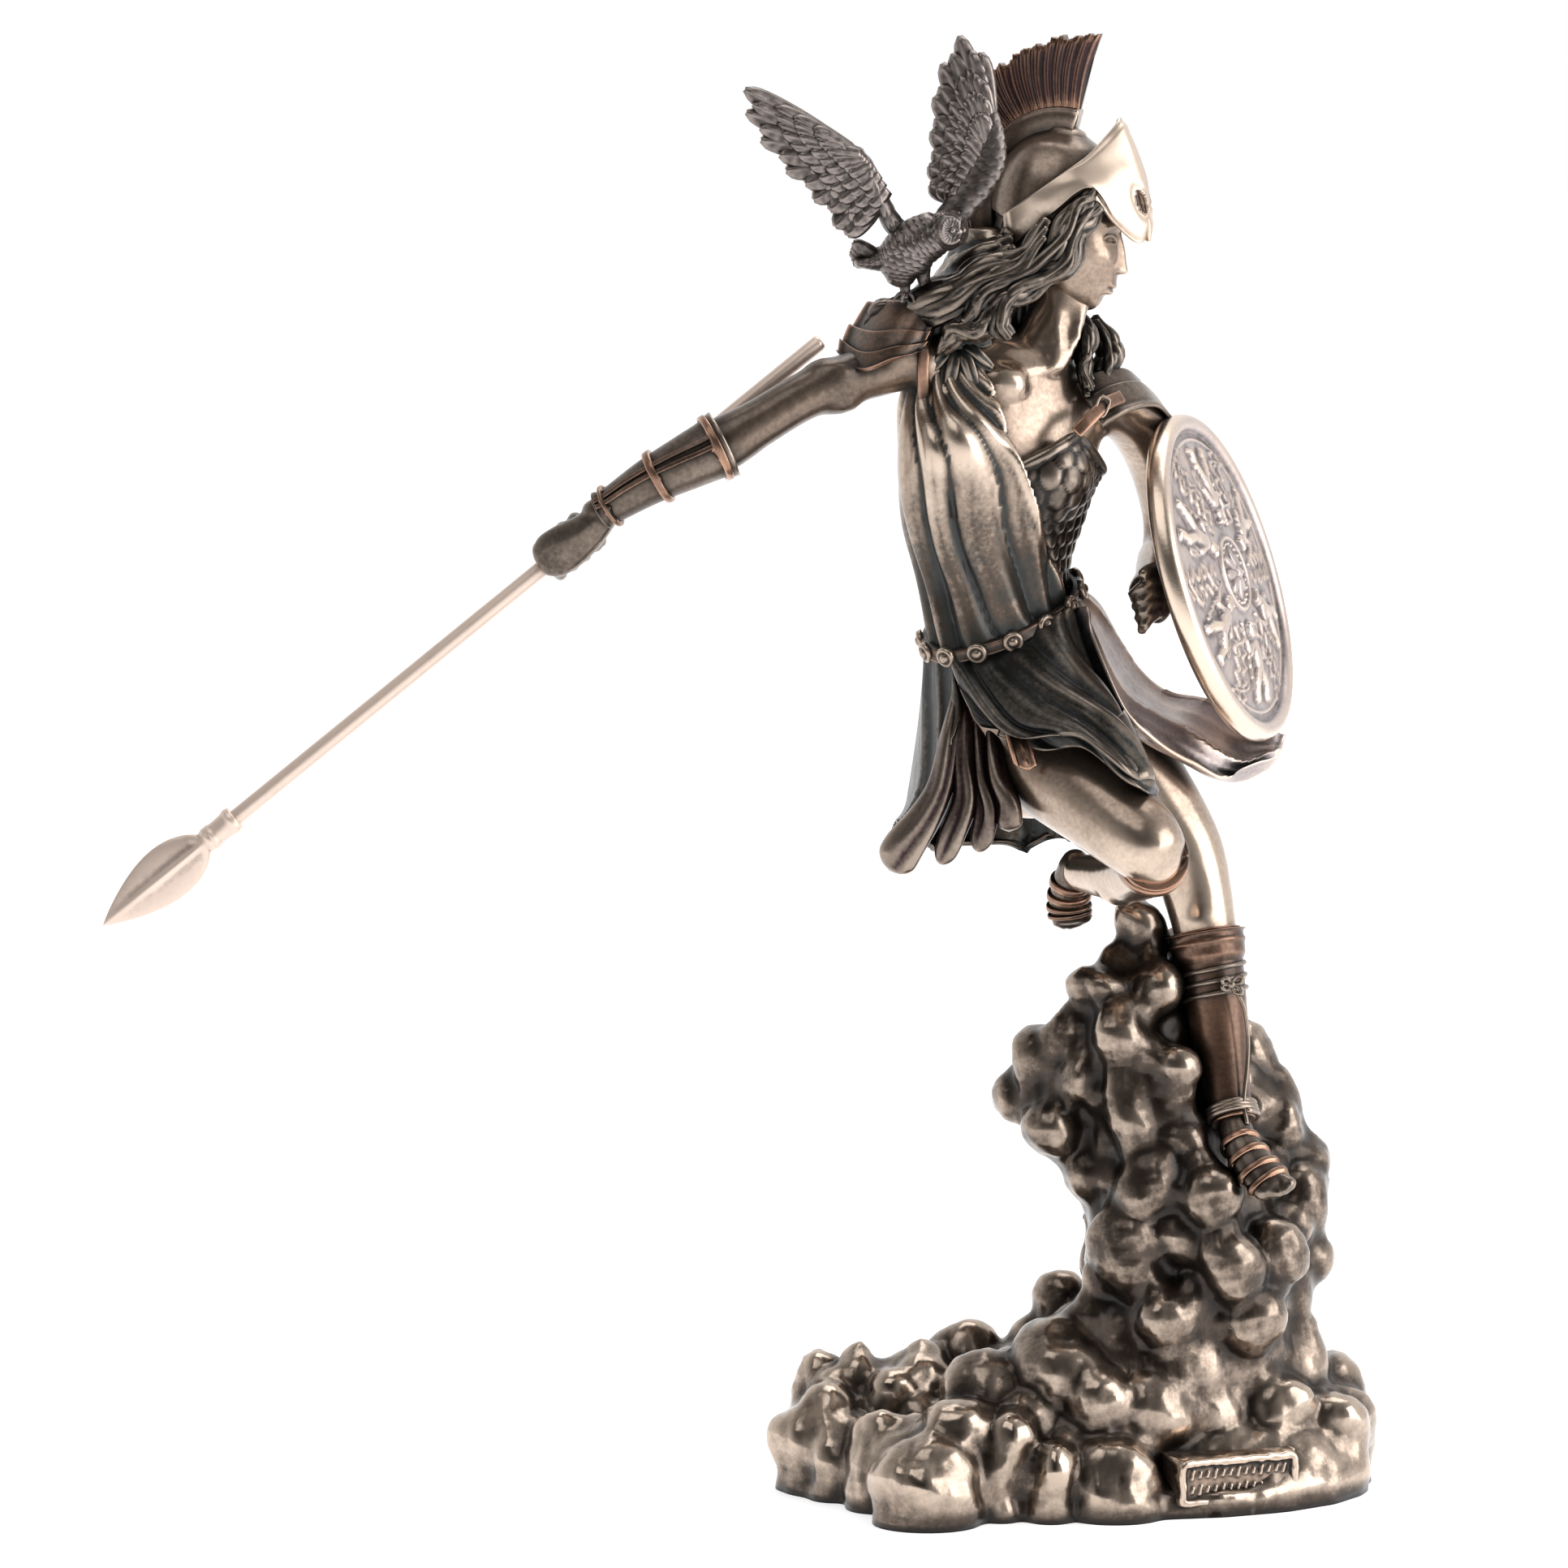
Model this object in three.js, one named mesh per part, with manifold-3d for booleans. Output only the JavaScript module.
// Helmeted warrior statuette striding off a pile of clouds.
// Millimetres, +Z up, +X to the viewer's right, +Y away from the viewer.
// The origin is the middle of the cloud base's flat underside.

import * as THREE from 'three';
import { mergeVertices } from 'three/addons/utils/BufferGeometryUtils.js';
import Module from 'manifold-3d';

// Driving dimensions

const FIGURE_HEIGHT = 250;
const BASE_LENGTH = 134;
const BASE_WIDTH = 90;
const BANK_HEIGHT = 40;
const PILE_HEIGHT = 136;
const FOOT_SLAB = 10;

const PLATE_LENGTH = 30;
const PLATE_HEIGHT = 11;
const PLATE_DEPTH = 12;
const PLATE_FRAME = 1.4;
const PLATE_RECESS = 0.9;
const STROKE_WIDTH = 0.9;
const STROKE_RAISE = 0.5;

const SHIELD_DIAMETER = 77;
const SHIELD_RIM = 4.6;
const SHIELD_THICKNESS = 3.4;
const SHIELD_DOME = 3;
const RELIEF_RAISE = 1;
const ROUNDEL_DIAMETER = 17;
const RELIEF_FIGURES = 6;
const GRIP_LENGTH = 15;

const SHAFT_DIAMETER = 3.6;
const SHAFT_LENGTH = 175;
const SHAFT_PAST_HAND = 73;
const SPEARHEAD_LENGTH = 38.5;
const SPEARHEAD_WIDTH = 12.5;
const SPEARHEAD_THICKNESS = 4.6;
const SOCKET_LENGTH = 9;
const SOCKET_DIAMETER = 5.8;
const SOCKET_DEPTH = 6;

const OWL_HEIGHT = 60;
const FEATHER_THICKNESS = 1.5;

const CLOTH_THICKNESS = 1.8;
const BELT_HEIGHT = 5;
const BELT_THICKNESS = 1.4;
const STUD_DIAMETER = 4.6;
const FINGER_DIAMETER = 3.5;
const CREST_THICKNESS = 4.6;
const VISOR_THICKNESS = 1.6;

const SEAT_GAP = 0.3;
const WELD_GAP = 0.03;

const BRONZE = { color: 0x7d6347, roughness: 0.36, metalness: 0.9 };
const DARK_BRONZE = { color: 0x5d4a38, roughness: 0.42, metalness: 0.85 };
const FEATHER_BRONZE = { color: 0x6b5a48, roughness: 0.5, metalness: 0.8 };
const SHIELD_BRONZE = { color: 0x8f7458, roughness: 0.38, metalness: 0.9 };
const PALE_GOLD = { color: 0xb99a74, roughness: 0.45, metalness: 0.85 };

// Solids

const wasm = await Module();
wasm.setup();

const vector = ([x, y, z]) => new THREE.Vector3(x, y, z);

function solid(source) {
  const geometry = source.index ? source.clone() : source;
  geometry.deleteAttribute('normal');
  geometry.deleteAttribute('uv');
  const merged = mergeVertices(geometry, 1e-4);
  const corners = merged.index.array;
  const faces = [];
  for (let i = 0; i < corners.length; i += 3) {
    const [a, b, c] = [corners[i], corners[i + 1], corners[i + 2]];
    if (a !== b && b !== c && c !== a) {
      faces.push(a, b, c);
    }
  }
  const vertProperties = new Float32Array(merged.attributes.position.array);
  const mesh = { numProp: 3, vertProperties, triVerts: new Uint32Array(faces) };
  return new wasm.Manifold(new wasm.Mesh(mesh));
}

function join(...bodies) {
  return bodies.flat().reduce((whole, body) => whole.add(body));
}

// The corners of a joined body, with those closer than the weld gap made one, and its faces.
function welded(body) {
  const { vertProperties, triVerts } = body.getMesh();
  const points = [];
  const place = [];
  for (let i = 0; i < vertProperties.length; i += 3) {
    const point = vector(vertProperties.slice(i, i + 3));
    const same = points.findIndex((other) => other.distanceTo(point) < WELD_GAP);
    place.push(same < 0 ? points.length : same);
    if (same < 0) {
      points.push(point);
    }
  }
  const faces = [];
  for (let i = 0; i < triVerts.length; i += 3) {
    const [a, b, c] = [place[triVerts[i]], place[triVerts[i + 1]], place[triVerts[i + 2]]];
    if (a !== b && b !== c && c !== a) {
      faces.push([a, b, c]);
    }
  }
  return { points, faces };
}

// The face of each directed edge, which is the edge's key.
function edgeMap(faces) {
  const edges = new Map();
  faces.forEach((face, i) => {
    face.forEach((from, k) => edges.set(`${from} ${face[(k + 1) % 3]}`, i));
  });
  return edges;
}

// A face whose tip lies on its long edge is turned into its neighbour over that edge.
function unpinched({ points, faces }) {
  const edges = edgeMap(faces);
  const touched = new Set();
  faces.forEach((face, i) => {
    const lengths = face.map((from, k) => points[from].distanceTo(points[face[(k + 1) % 3]]));
    const long = lengths.indexOf(Math.max(...lengths));
    const [a, b, tip] = [0, 1, 2].map((k) => face[(long + k) % 3]);
    const area = new THREE.Triangle(points[a], points[b], points[tip]).getArea();
    const other = edges.get(`${b} ${a}`);
    if ((2 * area) / lengths[long] > WELD_GAP / 2 || touched.has(i) || touched.has(other)) {
      return;
    }
    const far = faces[other].find((corner) => corner !== a && corner !== b);
    if (!edges.has(`${tip} ${far}`) && !edges.has(`${far} ${tip}`)) {
      faces[i] = [a, far, tip];
      faces[other] = [far, b, tip];
      touched.add(i).add(other);
    }
  });
  return { points, faces };
}

function named(name, body, finish) {
  const { points, faces } = unpinched(unpinched(welded(body)));
  const geometry = new THREE.BufferGeometry().setFromPoints(points);
  geometry.setIndex(faces.flat());
  geometry.computeVertexNormals();
  const mesh = new THREE.Mesh(geometry, new THREE.MeshStandardMaterial(finish));
  mesh.name = name;
  return mesh;
}

function surface(points, faces) {
  const geometry = new THREE.BufferGeometry().setFromPoints(points);
  geometry.setIndex(faces);
  return solid(geometry);
}

const degrees = THREE.MathUtils.degToRad;

// A closed limb through stations [x, y, z, side radius, front radius, yaw in degrees].
// Each ring is an ellipse across the spine, and the ends are rounded by a share of the radius.
// A ripple swells the rings by the angle round them and the share of the way along.
function limb(stations, sides = 10, rings = 8, rounding = 0.6, ripple = () => 1) {
  const spine = new THREE.CatmullRomCurve3(stations.map(vector), false, 'catmullrom', 0.5);
  const sizes = stations.map(([, , , side, front, yaw]) => new THREE.Vector3(side, front, yaw));
  const form = new THREE.CatmullRomCurve3(sizes, false, 'catmullrom', 0.5);
  const points = [];
  const faces = [];
  for (let ring = 0; ring <= rings; ring += 1) {
    const centre = spine.getPoint(ring / rings);
    const along = spine.getTangent(ring / rings);
    const { x: sideRadius, y: frontRadius, z: yaw } = form.getPoint(ring / rings);
    const side = new THREE.Vector3(Math.cos(degrees(yaw)), Math.sin(degrees(yaw)), 0);
    side.addScaledVector(along, -side.dot(along)).normalize();
    const front = along.clone().cross(side);
    for (let step = 0; step < sides; step += 1) {
      const angle = (step / sides) * 2 * Math.PI;
      const swell = ripple(angle, ring / rings);
      const point = centre.clone().addScaledVector(side, swell * sideRadius * Math.cos(angle));
      points.push(point.addScaledVector(front, swell * frontRadius * Math.sin(angle)));
    }
  }
  for (let ring = 0; ring < rings; ring += 1) {
    for (let step = 0; step < sides; step += 1) {
      const next = (step + 1) % sides;
      const [a, b] = [ring * sides + step, ring * sides + next];
      faces.push(a, b, b + sides, a, b + sides, a + sides);
    }
  }
  const ends = [[0, -1, stations[0]], [1, 1, stations[stations.length - 1]]];
  for (const [share, sign, [, , , sideRadius, frontRadius]] of ends) {
    const push = sign * rounding * Math.min(sideRadius, frontRadius);
    points.push(spine.getPoint(share).addScaledVector(spine.getTangent(share), push));
    const pole = points.length - 1;
    const first = share * rings * sides;
    for (let step = 0; step < sides; step += 1) {
      const pair = [first + step, first + ((step + 1) % sides)];
      faces.push(pole, ...(sign > 0 ? pair : pair.reverse()));
    }
  }
  return surface(points, faces);
}

const grown = (stations, gap) => stations.map(([x, y, z, side, front, yaw]) => (
  [x, y, z, side + gap, front + gap, yaw]
));

// A closed piece of cloth or plate over a grid of control points, rows going down the cloth.
// Folds are a wave across it whose depth grows from the first row to the last.
function cloth(grid, thickness, { across = 12, down = 8, folds = 0, depth = 0 } = {}) {
  const rows = grid.map((row) => new THREE.CatmullRomCurve3(row.map(vector), false, 'catmullrom', 0.5));
  const columns = [];
  for (let i = 0; i <= across; i += 1) {
    const knots = rows.map((row) => row.getPoint(i / across));
    const column = new THREE.CatmullRomCurve3(knots, false, 'catmullrom', 0.5);
    columns.push(Array.from({ length: down + 1 }, (_, j) => column.getPoint(j / down)));
  }
  const count = (across + 1) * (down + 1);
  const outer = [];
  const inner = [];
  for (let i = 0; i <= across; i += 1) {
    for (let j = 0; j <= down; j += 1) {
      const right = columns[Math.min(i + 1, across)][j].clone().sub(columns[Math.max(i - 1, 0)][j]);
      const below = columns[i][Math.min(j + 1, down)].clone().sub(columns[i][Math.max(j - 1, 0)]);
      const normal = below.cross(right).normalize();
      const wave = depth * (j / down) * Math.sin((i / across) * folds * 2 * Math.PI);
      outer.push(columns[i][j].clone().addScaledVector(normal, wave + thickness / 2));
      inner.push(columns[i][j].clone().addScaledVector(normal, wave - thickness / 2));
    }
  }
  const faces = [];
  const at = (i, j) => i * (down + 1) + j;
  const quad = (a, b, c, d) => faces.push(a, b, c, a, c, d);
  for (let i = 0; i < across; i += 1) {
    for (let j = 0; j < down; j += 1) {
      quad(at(i, j), at(i, j + 1), at(i + 1, j + 1), at(i + 1, j));
      quad(at(i, j) + count, at(i + 1, j) + count, at(i + 1, j + 1) + count, at(i, j + 1) + count);
    }
  }
  for (let i = 0; i < across; i += 1) {
    quad(at(i, 0), at(i + 1, 0), at(i + 1, 0) + count, at(i, 0) + count);
    quad(at(i, down), at(i, down) + count, at(i + 1, down) + count, at(i + 1, down));
  }
  for (let j = 0; j < down; j += 1) {
    quad(at(0, j), at(0, j) + count, at(0, j + 1) + count, at(0, j + 1));
    quad(at(across, j), at(across, j + 1), at(across, j + 1) + count, at(across, j) + count);
  }
  return surface([...outer, ...inner], faces);
}

// A rounded lump: an ellipsoid of few faces, and of eight where the detail is below 0.
function lump(centre, radii, detail = 1) {
  const ball = detail < 0 ? new THREE.OctahedronGeometry(1) : new THREE.IcosahedronGeometry(1, detail);
  const geometry = ball.scale(...radii);
  return solid(geometry.translate(centre.x, centre.y, centre.z));
}

// Everything on the far side of a plane, as one large block.
function beyond(point, normal, size) {
  const block = new THREE.BoxGeometry(size, size, size).translate(0, 0, size / 2);
  const turn = new THREE.Quaternion().setFromUnitVectors(new THREE.Vector3(0, 0, 1), normal.clone().normalize());
  block.applyQuaternion(turn);
  return solid(block.translate(point.x, point.y, point.z));
}

// Cloud base

// Shares of the base's length and width and of the bank's height, in hundredths:
// place along, across and up, then the puff's radii.
const BANK_PUFFS = [
  [-44.5, 2, 27, 6, 9, 22],
  [-42, 16, 50, 5, 8, 20],
  [-36, 9, 60, 3, 4.5, 22],
  [-30, 4, 57, 3.2, 4.5, 13],
  [-40, 7, 50, 3.2, 6, 16],
  [-32, -16, 40, 4.4, 7, 15],
  [-33.5, -20, 20, 4.6, 8, 25],
  [-25, -37, 24, 9.2, 12, 25],
  [-40, -8, 20, 4.5, 8, 20],
  [-15, -16, 64, 7.2, 10, 22],
  [-20, -28, 42, 7, 10, 24],
  [-13, -31, 32, 4.5, 9, 30],
  [-3, -12, 74, 9.5, 14, 30],
  [-3, 4, 80, 6, 10, 16],
  [3, -21, 56, 6, 9, 24],
  [12, -17, 54, 7, 10, 25],
  [-5, -33, 22, 4.4, 7, 22],
  [5.5, -30, 20, 8, 10, 25],
  [20, -8, 52, 8, 11, 22],
  [28, 2, 58, 9, 13, 22],
  [36, 9, 66, 6.5, 10, 24],
  [32, -3, 50, 8, 11, 22],
  [43, 20, 46, 7, 11, 24],
  [43, 11, 26, 7, 10, 30],
  [37, 0, 30, 5, 9, 24],
  [-2, 27, 98, 4.2, 6.5, 18],
  [-2, 27, 72, 5, 8, 22],
  [-26, 16, 44, 4, 6, 14],
  [-25, 1, 38, 5, 7, 14],
  [-22, -13, 40, 4.4, 7, 14],
];

// Shares of the base's length and width and of the pile's height, as above.
const PILE_PUFFS = [
  [11, 9, 94, 4.6, 7, 6.5],
  [14, -1, 86, 4.2, 6.5, 4.6],
  [4, 1, 85, 5.2, 7.5, 4.4],
  [7, -6, 78, 5.4, 7.5, 5.6],
  [-6.5, 9, 73, 4.6, 8, 5.4],
  [-9.5, 16, 66, 4, 8, 6],
  [0, -2, 70, 3.4, 7, 4.6],
  [-4, 0, 62, 5, 8, 5.6],
  [9, -9, 66, 4.2, 7, 6.4],
  [17, -9, 73, 3.6, 6, 4],
  [16, -10, 67, 3.6, 6, 4.4],
  [18, -9, 62, 5, 7, 4.4],
  [2, 2, 54, 4.2, 8, 5],
  [12, -12, 54, 5.8, 9, 5.8],
  [22, -16, 52, 6, 9, 5.4],
  [8, -12, 43, 6, 9, 7],
  [25, -15, 40, 5.8, 9, 6.2],
  [34, -7, 42, 5.4, 9, 6.2],
  [40, 14, 38, 4.6, 8, 5.4],
  [39, 12, 48, 4.6, 9, 8],
  [41, 17, 55, 3.4, 6, 3.6],
  [36, 16, 61, 4.6, 9, 7],
  [31, 22, 72, 3.4, 8, 6],
  [31, 14, 64, 4.4, 9, 5],
  [36, 7, 34, 5.4, 9, 5.4],
  [3, -6, 31, 4.4, 8, 5],
  [15, -15, 31, 6.2, 9, 5.4],
  [29, -11, 31, 6.8, 9, 5.4],
];

// The hidden back, in rows of puffs round an arc: how many, the arc's centre and reach,
// its first and last bearing, the height and the puffs' radii.
const BANK_BACK = [
  [9, [0, 6], [42, 38], [-8, 188], 26, [6.6, 10, 28]],
  [6, [2, 8], [28, 22], [10, 170], 56, [6.6, 10, 28]],
];
const PILE_BACK = [
  [5, [20, 8], [14, 17], [20, 160], 38, [5.6, 9, 7]],
  [5, [18, 10], [13, 15], [10, 170], 52, [5.6, 9, 7]],
  [5, [14, 12], [12, 13], [5, 170], 66, [5.4, 8, 6.4]],
  [3, [13, 12], [7, 8], [40, 140], 81, [4.6, 7.4, 5.6]],
];

// The pile's inner core in the same shares: its place and its least radii along and across.
const PILE_CORE = [
  [20, 7, 18, 16.5, 19],
  [20, 7, 27, 15.5, 17],
  [20, 7, 40, 14.5, 16],
  [18.5, 9, 52, 15.5, 15],
  [15.5, 13, 63, 15, 14],
  [14, 14, 74, 11.5, 13],
  [13, 12, 86, 7, 9],
  [11.5, 9, 97, 3.2, 4.5],
];

const BANK_HEART = [6, 4, 14, 40, 36, 46];
const BANK_SIDES = 34;
const BANK_RINGS = [0.95, 0.84, 0.69, 0.53, 0.36, 0.18];
const PILE_SIDES = 16;
const PILE_RINGS = 18;
const CLOUD_SOFTNESS = 0.3;
const PUFF_SWELL = 1.1;

const share = ([x, y, z], height) => new THREE.Vector3(
  (x / 100) * BASE_LENGTH,
  (y / 100) * BASE_WIDTH,
  (z / 100) * height,
);

// A puff is an ellipsoid, kept as its centre and radii.
function puff([x, y, z, rx, ry, rz], height) {
  return { centre: share([x, y, z], height), radii: share([rx, ry, rz], height).multiplyScalar(PUFF_SWELL) };
}

function backPuffs(rows, height) {
  return rows.flatMap(([count, [cx, cy], [reachX, reachY], [first, last], z, radii]) => (
    Array.from({ length: count }, (_, i) => {
      const bearing = degrees(first + ((last - first) * i) / (count - 1));
      const swell = 1 + 0.12 * Math.sin(2.4 * i + z);
      const place = [cx + reachX * Math.cos(bearing), cy + reachY * Math.sin(bearing), z];
      return puff([...place, ...radii.map((radius) => radius * swell)], height);
    })
  ));
}

// How far a ray from a point runs until it leaves the last puff that it meets.
function reach(from, direction, puffs, least) {
  return puffs.reduce((far, { centre, radii }) => {
    const start = from.clone().sub(centre).divide(radii);
    const way = direction.clone().divide(radii);
    const across = start.dot(way);
    const root = across ** 2 - way.lengthSq() * (start.lengthSq() - 1);
    return root > 0 ? Math.max(far, (Math.sqrt(root) - across) / way.lengthSq()) : far;
  }, least);
}

const compass = (bearing) => new THREE.Vector3(Math.cos(bearing), Math.sin(bearing), 0);

// A closed skin through rings of points, with one point closing each end.
function skin(rings, start, end) {
  const sides = rings[0].length;
  const points = [...rings.flat(), start, end];
  const faces = [];
  const last = (rings.length - 1) * sides;
  for (let step = 0; step < sides; step += 1) {
    const next = (step + 1) % sides;
    for (let ring = 0; ring < last; ring += sides) {
      const [a, b] = [ring + step, ring + next];
      faces.push(a, b, b + sides, a, b + sides, a + sides);
    }
    faces.push(points.length - 2, next, step, points.length - 1, last + step, last + next);
  }
  return surface(points, faces);
}

// Each point of the rings moves part of the way to the middle of its neighbours.
function softened(rings, amount) {
  return rings.map((ring, i) => ring.map((point, k) => {
    const near = [ring[(k + 1) % ring.length], ring[(k + ring.length - 1) % ring.length]];
    if (i > 0 && i < rings.length - 1) {
      near.push(rings[i - 1][k], rings[i + 1][k]);
    }
    const middle = near.reduce((sum, other) => sum.add(other), new THREE.Vector3()).divideScalar(near.length);
    return point.clone().lerp(middle, amount);
  }));
}

// The pile's skin lies where horizontal rays from its core line leave the puffs.
function pile() {
  const puffs = [
    ...PILE_PUFFS.map((numbers) => puff(numbers, PILE_HEIGHT)),
    ...backPuffs(PILE_BACK, PILE_HEIGHT),
  ];
  const core = PILE_CORE.map(([x, y, z]) => share([x, y, z], PILE_HEIGHT));
  const spine = new THREE.CatmullRomCurve3(core, false, 'catmullrom', 0.5);
  const girth = PILE_CORE.map(([, , , side, front]) => share([side, front, 0], 0));
  const form = new THREE.CatmullRomCurve3(girth, false, 'catmullrom', 0.5);
  const rings = Array.from({ length: PILE_RINGS + 1 }, (_, i) => {
    const centre = spine.getPoint(i / PILE_RINGS);
    const { x: side, y: front } = form.getPoint(i / PILE_RINGS);
    return Array.from({ length: PILE_SIDES }, (__, k) => {
      const ray = compass((k / PILE_SIDES) * 2 * Math.PI);
      const least = 0.85 / Math.hypot(ray.x / side, ray.y / front);
      return centre.clone().addScaledVector(ray, reach(centre, ray, puffs, least));
    });
  });
  const tip = spine.getPoint(1);
  const up = new THREE.Vector3(0, 0, 1);
  const top = tip.clone().addScaledVector(up, reach(tip, up, puffs, 0));
  return skin(softened(rings, CLOUD_SOFTNESS), spine.getPoint(0), top);
}

// The bank's skin is the puffs' upper surface on rings that follow its outline.
function bank() {
  const puffs = [
    ...BANK_PUFFS.map((numbers) => puff(numbers, BANK_HEIGHT)),
    ...backPuffs(BANK_BACK, BANK_HEIGHT),
    puff(BANK_HEART, BANK_HEIGHT),
  ];
  const middle = share(BANK_HEART.slice(0, 3), 0);
  const outline = (height, bearing) => {
    const centre = middle.clone().setZ(height);
    return centre.addScaledVector(compass(bearing), reach(centre, compass(bearing), puffs, 0));
  };
  const up = new THREE.Vector3(0, 0, 1);
  const bearings = Array.from({ length: BANK_SIDES }, (_, k) => (k / BANK_SIDES) * 2 * Math.PI);
  const walls = [0, FOOT_SLAB / 2, FOOT_SLAB].map((height) => (
    bearings.map((bearing) => outline(Math.max(height, FOOT_SLAB / 4), bearing).setZ(height))
  ));
  const rings = BANK_RINGS.map((part) => bearings.map((bearing) => {
    const point = outline(FOOT_SLAB, bearing).lerp(middle.clone().setZ(FOOT_SLAB), 1 - part);
    return point.setZ(reach(point.setZ(0), up, puffs, FOOT_SLAB));
  }));
  const top = middle.clone().setZ(reach(middle.clone().setZ(0), up, puffs, FOOT_SLAB));
  return skin([walls[0], ...softened([...walls.slice(1), ...rings], CLOUD_SOFTNESS)], middle.clone().setZ(0), top);
}

const PLATE_PLACE = new THREE.Vector3(0.253 * BASE_LENGTH, -0.235 * BASE_WIDTH, 2.6 + PLATE_HEIGHT / 2);
const PLATE_YAW = degrees(22);

// The plate stands upright with its face to the front: a block, a sunk field and raised strokes.
function plateSpace(geometry, x, z, front) {
  geometry.translate(x, front, z).rotateZ(PLATE_YAW);
  return solid(geometry.translate(PLATE_PLACE.x, PLATE_PLACE.y, PLATE_PLACE.z));
}

function nameplate() {
  const block = new THREE.BoxGeometry(PLATE_LENGTH, PLATE_DEPTH, PLATE_HEIGHT);
  const fieldLength = PLATE_LENGTH - 2 * PLATE_FRAME;
  const fieldHeight = PLATE_HEIGHT - 2 * PLATE_FRAME;
  const field = new THREE.BoxGeometry(fieldLength, 2 * PLATE_RECESS, fieldHeight);
  const front = -PLATE_DEPTH / 2;
  const strokes = strokeRow(fieldLength, fieldHeight).map(([x, height, lean]) => {
    const depth = PLATE_RECESS + STROKE_RAISE;
    const stroke = new THREE.BoxGeometry(STROKE_WIDTH, depth, height).rotateY(lean);
    return plateSpace(stroke, x, 0, front + PLATE_RECESS);
  });
  return join(plateSpace(block, 0, 0, 0).subtract(plateSpace(field, 0, 0, front)), strokes);
}

// Upright and leaning strokes in turn, none of them a letter.
function strokeRow(length, height) {
  const count = Math.floor(length / (3 * STROKE_WIDTH));
  return Array.from({ length: count }, (_, i) => [
    (i - (count - 1) / 2) * (length / (count + 0.5)),
    height * (i % 3 === 1 ? 0.5 : 0.68),
    degrees([0, 16, -12][i % 3]),
  ]);
}

function cloudBase(boot) {
  return join(bank(), pile(), nameplate()).subtract(boot);
}

// Figure: its pose, proportions and carving are in 250ths of its height

const POSE_PARTS = 250;
const UNIT = FIGURE_HEIGHT / POSE_PARTS;
const SOLE = [46, -22, 71];
const STANCE = share([34.3, -24.4, 52.2], PILE_HEIGHT);

function pose([x, y, z]) {
  return vector([x - SOLE[0], y - SOLE[1], z - SOLE[2]]).multiplyScalar(UNIT).add(STANCE);
}

const posed = (stations) => stations.map(([x, y, z, side, front, yaw]) => (
  [...pose([x, y, z]).toArray(), side * UNIT, front * UNIT, yaw]
));
const posedGrid = (grid) => grid.map((row) => row.map((point) => pose(point).toArray()));
const bodyPart = (stations, sides, rings, rounding) => limb(posed(stations), sides, rings, rounding);
const bodyLump = (point, radii, detail) => lump(pose(point), radii.map((radius) => radius * UNIT), detail);

const TORSO = [
  [-7, 2, 162.9, 15, 12, 45],
  [-9.9, 1, 174.1, 19, 15, 45],
  [-12.7, 0, 184.3, 19.5, 15, 43],
  [-16.4, 0, 193.6, 17, 13, 40],
  [-18.6, 0, 200.9, 15, 12, 38],
  [-19.4, 0, 212, 16, 12.5, 34],
  [-19.5, -1, 223.1, 19.5, 14, 30],
  [-18.8, -2, 234.1, 22, 15, 27],
  [-16.6, -1, 244.1, 23.5, 13, 26],
  [-13.7, 0, 253.2, 22.5, 10, 26],
  [-11.5, 0, 258.7, 14, 8, 26],
];
const NECK = [
  [-10, 1, 255, 9, 8, 30],
  [-7.5, 1, 264.1, 6.8, 6.8, 40],
  [-4.7, 2, 270.5, 6.2, 6.2, 60],
  [-2.4, 2, 278, 6.2, 6.6, 70],
];
const RIGHT_BREAST = [-28, -13.5, 241];
const LEFT_BREAST = [-7, -7.4, 234.5];
const BREAST_RADII = [8.6, 7.8, 9.8];

const RIGHT_ARM = [
  [-29, -6, 259, 8, 8, 90],
  [-38, -9, 259.6, 7, 7, 90],
  [-46, -12, 257.4, 6.2, 6.2, 90],
  [-60.6, -18, 252.6, 5.5, 5.5, 90],
  [-71.9, -22, 246.3, 5.5, 5.5, 90],
  [-80, -24, 241.6, 6, 6.2, 90],
  [-88.1, -25, 237.6, 5.4, 5.4, 90],
  [-96.2, -24.5, 233.4, 4.3, 4.4, 90],
  [-104.4, -22.5, 228.2, 3.4, 3.4, 90],
  [-109.3, -21, 225.4, 3, 3.2, 90],
];
const RIGHT_PALM = [
  [-106.5, -21.5, 224.6, 4.2, 4.4, 90],
  [-110.5, -20.5, 222.4, 4.2, 5.6, 90],
  [-114.8, -19.5, 219.8, 3.6, 6.2, 90],
  [-118.6, -18.6, 217.6, 3, 5.4, 90],
];
const LEFT_ARM = [
  [0, 5, 254, 8, 8, 0],
  [9.5, 10, 251.8, 8, 8, 0],
  [14.4, 16, 245.9, 7.4, 7.4, 0],
  [18.7, 25, 234.2, 6.6, 6.8, 0],
  [22, 32, 221.6, 6.2, 6.2, 0],
  [21.5, 29, 213.5, 6, 6, 0],
  [19.5, 19, 211.4, 5.8, 5.8, 0],
  [17.2, 3, 208.6, 4.6, 4.8, 0],
  [15.2, -5, 206.8, 4.4, 4.6, 0],
];

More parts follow.
